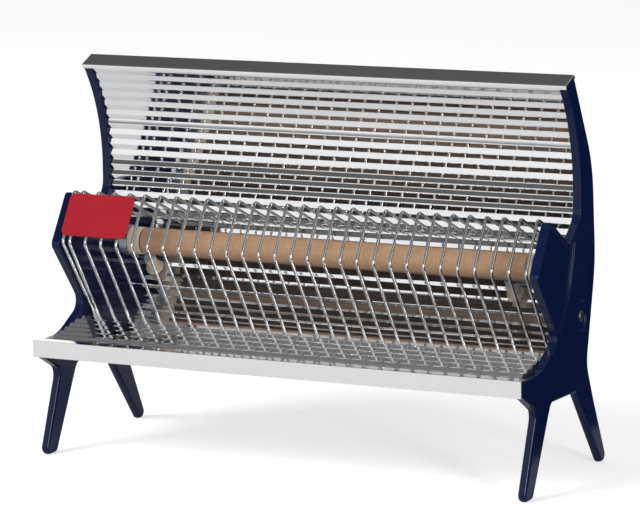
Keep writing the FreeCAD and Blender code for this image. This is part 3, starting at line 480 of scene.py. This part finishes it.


# Element: a former painted dark as shade between the turns, under a fine unbroken winding.
def add_element():
    steps = WINDING_TURNS * STEPS_PER_TURN
    points = []
    for step in range(steps + 1):
        angle = 2 * math.pi * step / STEPS_PER_TURN
        x = WINDING_FROM + (WINDING_TO - WINDING_FROM) * step / steps
        points.append((x, ELEMENT_Y + WINDING_RADIUS * math.cos(angle),
                       ELEMENT_Z + WINDING_RADIUS * math.sin(angle)))
    winding = tube("element_winding_fine", points, WINDING_WIRE, 8)
    smooth(winding, 60.0)
    dress(winding, WINDING)
    winding.data.materials.append(WINDING_HALF_SHADE)
    winding.data.materials.append(WINDING_SHADE)
    # Each face gets the lit brown, painted half shade or painted shade, by which way it faces.
    for face in winding.data.polygons:
        ahead = ELEMENT_Y - face.center.y / MM
        rise = face.center.z / MM - ELEMENT_Z
        facing = (LIT_WAY[0] * ahead + LIT_WAY[1] * rise) / WINDING_RADIUS
        face.material_index = 0 if facing > LIT_LIMIT else (1 if facing > HALF_SHADE_LIMIT else 2)
    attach(winding, "root")
    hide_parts("element_winding")
    pick()
    bpy.ops.mesh.primitive_cylinder_add(
        vertices=64, radius=FORMER_RADIUS * MM, depth=FORMER_LENGTH * MM,
        location=(FORMER_MIDDLE * MM, ELEMENT_Y * MM, ELEMENT_Z * MM),
        rotation=(0, math.pi / 2, 0), end_fill_type="NOTHING")
    former = bpy.context.object
    former.name = "element_former"
    settle(former)
    apply_modifier(former, "SOLIDIFY", thickness=FORMER_WALL * MM, offset=-1.0)
    smooth(former, 40.0)
    dress(former, FORMER_SHADE)
    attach(former, "root")
    for node in ("element_cap_left", "element_cap_right"):
        dress(softened(node, 0.8), CERAMIC)
    dress_node("element_core", CERAMIC)


# Clamps, posts and wiring.
def add_terminals():
    for side in ("left", "right"):
        dress(softened("element_clamp_" + side, 0.25, segments=2), BLUED)
        dress(softened("terminal_bolt_" + side, 0.4), BLUED)
        dress(softened("terminal_bush_" + side, 0.6), CERAMIC)
        dress(softened("rear_bush_" + side, 0.5), CERAMIC)
        dress_node("lead_" + side, SLEEVING)
    dress(softened("terminal_nuts", 0.35), BLUED)
    dress(softened("lead_lugs", 0.2, segments=2), PLAIN_STEEL)
    dress(softened("terminal_block", 0.6), CERAMIC)
    dress(softened("block_screws", 0.3, segments=2), PLAIN_STEEL)
    dress(softened("earth_screw", 0.4), PLAIN_STEEL)


# Trims, rear cover, its gland, and the fixings.
def add_trims_and_cover():
    dress(softened("front_trim", 0.3), TRIM_CHROME)
    dress(softened("top_trim", 0.3), TRIM_CHROME)
    dress(softened("rear_cover", 0.25, segments=2), PLAIN_STEEL)
    dress(softened("cord_gland", 0.8), RUBBER)
    dress(softened("side_screws", 0.5), PLAIN_STEEL)
    dress(softened("side_nuts", 0.3, segments=2), PLAIN_STEEL)
    dress_node("guard_bar_upper", PLAIN_STEEL)
    dress_node("guard_bar_lower", PLAIN_STEEL)


# Bare badge: enamel in front and on its edges, plain steel behind.
def add_badge():
    plate = softened("badge_plate", 0.35, segments=4)
    dress(plate, ENAMEL)
    plate.data.materials.append(PLAIN_STEEL)
    for face in plate.data.polygons:
        if face.normal.y > 0.3:
            face.material_index = 1
    dress(softened("badge_strip", 0.2, segments=2), PLAIN_STEEL)
    dress(softened("badge_rivets", 0.3), PLAIN_STEEL)


# Floor, light and the dark cards that the bright metal reflects.
SKY_AMBIENT = 0.34
SKY_SHOWN = 1.0
FLOOR_SIZE = 30.0
FLOOR_TONE = 0.86
FLOOR_LIFT = 0.52
UPRIGHT = math.pi / 2
# Name, place, turn, extent and tone.
CARDS = [("ceiling_card", (0.0, -3.25, 6.0), (0, 0, 0), (18.0, 12.5), 0.36),
         ("floor_card", (3.2, 2.65, 0.004), (0, 0, 0), (5.9, 5.9), 0.020),
         ("far_card", (3.8, 4.5, 2.0), (UPRIGHT, 0, 0), (6.6, 4.0), 0.030),
         ("right_card", (8.0, -1.5, 3.5), (UPRIGHT, 0, UPRIGHT), (11.0, 7.0), 0.040),
         ("rear_card", (-3.5, 4.0, 5.2), (0, 0, 0), (9.0, 6.0), 0.20)]
# Name, place, width, height, power, and whether reflections show it.
LAMPS = [("key_light", (-2.4, -3.2, 3.4), 2.2, 2.2, 150.0, False),
         ("fill_light", (3.4, -2.0, 2.2), 2.0, 2.0, 24.0, True),
         ("edge_light", (3.0, -2.1, 0.75), 0.45, 1.4, 50.0, True)]
LAMP_TARGET = (0, 0, 0.15)


def add_sky():
    """A white surround that is dimmer as a light than it looks."""
    world = bpy.data.worlds.new("studio")
    world.use_nodes = True
    bpy.context.scene.world = world
    nodes, link = world.node_tree.nodes, world.node_tree.links.new
    sky = nodes["Background"]
    sky.inputs["Color"].default_value = (1.0, 1.0, 1.0, 1.0)
    path = nodes.new("ShaderNodeLightPath")
    seen = nodes.new("ShaderNodeMath")
    seen.operation = "MAXIMUM"
    shown = nodes.new("ShaderNodeMath")
    shown.operation = "MAXIMUM"
    level = nodes.new("ShaderNodeMapRange")
    level.inputs["To Min"].default_value = SKY_AMBIENT
    level.inputs["To Max"].default_value = SKY_SHOWN
    link(path.outputs["Is Camera Ray"], seen.inputs[0])
    link(path.outputs["Is Glossy Ray"], seen.inputs[1])
    link(seen.outputs[0], shown.inputs[0])
    link(path.outputs["Is Transmission Ray"], shown.inputs[1])
    link(shown.outputs[0], level.inputs["Value"])
    link(level.outputs["Result"], sky.inputs["Strength"])


def add_floor():
    """A paper floor, lifted towards white where the camera sees it."""
    pick()
    bpy.ops.mesh.primitive_plane_add(size=FLOOR_SIZE, location=(0, 0, 0))
    floor = bpy.context.object
    floor.name = "studio_floor"
    paper = bpy.data.materials.new("floor_paper")
    paper.use_nodes = True
    nodes, link = paper.node_tree.nodes, paper.node_tree.links.new
    nodes.remove(nodes["Principled BSDF"])
    output = nodes["Material Output"]
    matte = nodes.new("ShaderNodeBsdfDiffuse")
    matte.inputs["Color"].default_value = (FLOOR_TONE, FLOOR_TONE, FLOOR_TONE, 1.0)
    glow = nodes.new("ShaderNodeEmission")
    both = nodes.new("ShaderNodeAddShader")
    path = nodes.new("ShaderNodeLightPath")
    lift = nodes.new("ShaderNodeMath")
    lift.operation = "MULTIPLY"
    lift.inputs[1].default_value = FLOOR_LIFT
    link(path.outputs["Is Camera Ray"], lift.inputs[0])
    link(lift.outputs[0], glow.inputs["Strength"])
    link(matte.outputs[0], both.inputs[0])
    link(glow.outputs[0], both.inputs[1])
    link(both.outputs[0], output.inputs["Surface"])
    dress(floor, paper)


def add_cards():
    for name, place, turn, extent, tone in CARDS:
        pick()
        bpy.ops.mesh.primitive_plane_add(size=1.0, location=place, rotation=turn)
        card = bpy.context.object
        card.name = name
        card.scale = (extent[0], extent[1], 1.0)
        settle(card)
        card.visible_camera = False
        card.visible_diffuse = False
        card.visible_shadow = False
        paint = bpy.data.materials.new(name + "_paint")
        paint.use_nodes = True
        coat = paint.node_tree.nodes["Principled BSDF"]
        coat.inputs["Base Color"].default_value = (tone, tone, tone, 1.0)
        coat.inputs["Roughness"].default_value = 1.0
        coat.inputs["Specular IOR Level"].default_value = 0.0
        dress(card, paint)


def add_lamps():
    for name, place, width, height, power, reflected in LAMPS:
        data = bpy.data.lights.new(name, "AREA")
        data.shape = "RECTANGLE"
        data.size = width
        data.size_y = height
        data.energy = power
        lamp = bpy.data.objects.new(name, data)
        bpy.context.scene.collection.objects.link(lamp)
        lamp.location = place
        lamp.visible_glossy = reflected
        aim = Vector(LAMP_TARGET) - Vector(place)
        lamp.rotation_euler = aim.to_track_quat("-Z", "Y").to_euler()


add_camera()
add_panels()
add_reflector()
add_guard()
add_element()
add_terminals()
add_trims_and_cover()
add_badge()
bpy.context.scene.view_settings.view_transform = "Standard"
add_sky()
add_floor()
add_cards()
add_lamps()
